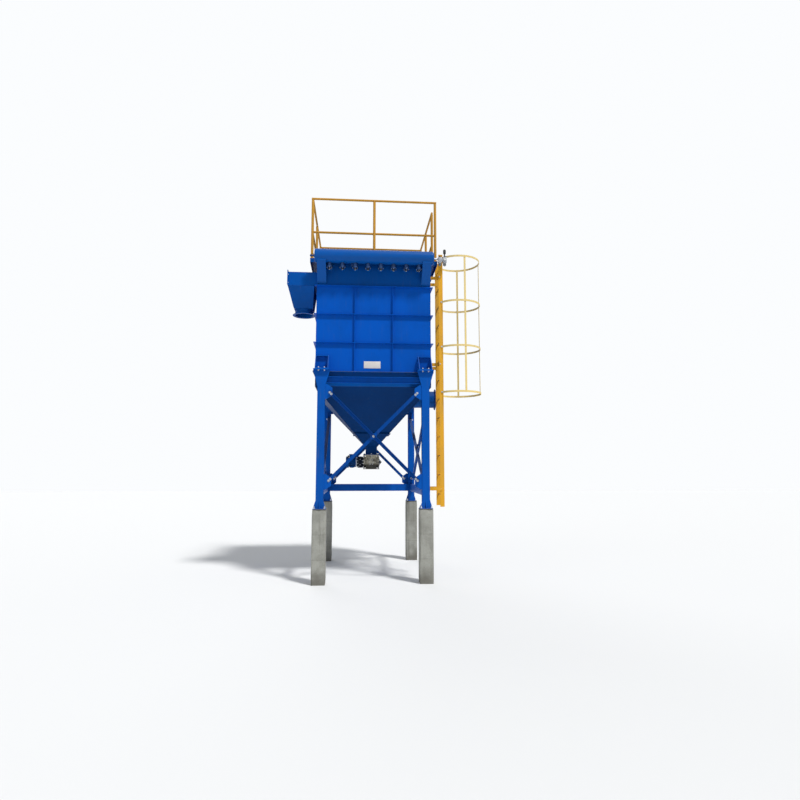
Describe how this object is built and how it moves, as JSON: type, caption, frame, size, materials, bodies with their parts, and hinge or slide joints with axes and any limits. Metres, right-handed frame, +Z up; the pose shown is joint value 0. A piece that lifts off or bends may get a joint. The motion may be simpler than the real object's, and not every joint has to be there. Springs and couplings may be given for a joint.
{
  "type": "pulse jet bag filter",
  "caption": "Free-standing pulse jet bag filter on concrete plinths: ribbed casing, hopper with rotary valve, air header, outlet hood, caged ladder and roof railing.",
  "frame": {"origin": "on the ground, at the middle of the whole footprint (ladder cage and outlet hood included)", "axes": "+X to the ladder side (right as seen from the air header side), +Y from the air header side to the back, +Z up"},
  "size_m": [3.0878, 2.564, 6.016],
  "materials": {
    "blue_frame": "satin",
    "blue_casing": "satin",
    "blue_hopper": "satin",
    "blue_hood": "satin",
    "blue_air_header": "satin",
    "valve_metal": "satin",
    "rotary_valve_metal": "matte",
    "gearbox_paint": "satin",
    "motor_paint": "satin",
    "ladder_yellow": "satin",
    "cage_yellow": "satin",
    "rail_yellow": "satin",
    "concrete": "rough, stained"
  },
  "bodies": {
    "root": {"legs": "blue_frame", "top_beams": "blue_frame", "lower_beams": "blue_frame", "gusset_plates": "blue_frame", "end_braces": "blue_frame", "side_braces": "blue_frame", "support_lugs": "blue_frame", "casing_front_panel": "blue_casing", "casing_back_panel": "blue_casing", "casing_left_panel": "blue_casing", "casing_right_panel": "blue_casing", "casing_flange": "blue_casing", "tube_sheet": "blue_casing", "clean_air_plenum": "blue_casing", "roof_deck": "blue_casing", "roof_covers": "blue_casing", "hopper_skirt": "blue_hopper", "hopper_front_wall": "blue_hopper", "hopper_back_wall": "blue_hopper", "hopper_left_wall": "blue_hopper", "hopper_right_wall": "blue_hopper", "hopper_band": "blue_hopper", "hopper_neck": "blue_hopper", "inlet_spigot": "blue_hopper", "outlet_hood": "blue_hood", "hood_end_tapers": "blue_hood", "hood_side_tapers": "blue_hood", "outlet_spigot": "blue_hood", "header_tank": "blue_air_header", "header_tank_caps": "blue_air_header", "tank_brackets": "blue_air_header", "blow_pipes": "blue_air_header", "pulse_valves": "valve_metal", "air_service_unit": "valve_metal", "rotary_valve": "rotary_valve_metal", "valve_gearbox": "gearbox_paint", "valve_motor": "motor_paint", "ladder_stiles": "ladder_yellow", "ladder_rungs": "ladder_yellow", "ladder_brackets": "ladder_yellow", "cage_hoops": "cage_yellow", "cage_straps": "cage_yellow", "railing_posts": "rail_yellow", "handrails": "rail_yellow", "plinths": "concrete"}
  },
  "joints": []
}
